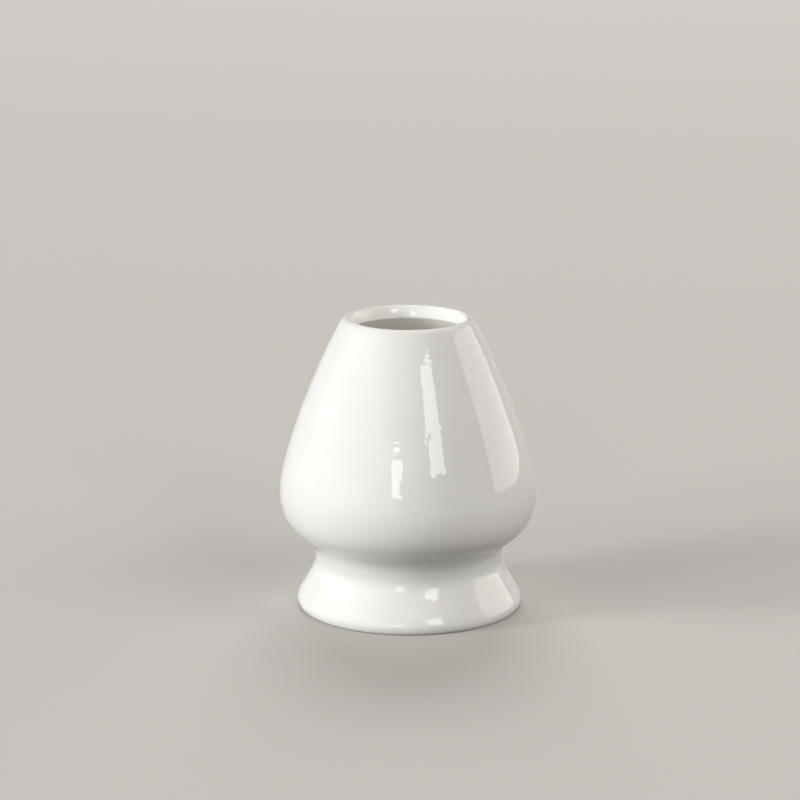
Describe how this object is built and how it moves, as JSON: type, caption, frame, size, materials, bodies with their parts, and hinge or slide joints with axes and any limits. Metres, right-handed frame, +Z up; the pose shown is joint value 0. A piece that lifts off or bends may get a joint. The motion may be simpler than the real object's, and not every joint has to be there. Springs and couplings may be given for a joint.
{
  "type": "tea whisk holder",
  "caption": "Hollow glazed porcelain stand that keeps a bamboo tea whisk's tines spread while it dries: a bulb with an open mouth on a flared foot.",
  "frame": {"origin": "centre of the ring that the foot stands on, on the surface under it", "axes": "+Z up through the waist and the mouth, along the axis that both castings are turned about"},
  "size_m": [0.065, 0.065, 0.0742],
  "materials": {
    "glazed_porcelain": "gloss clear glaze over warm white porcelain"
  },
  "bodies": {
    "root": {"bulb": "glazed_porcelain", "foot": "glazed_porcelain"}
  },
  "joints": []
}
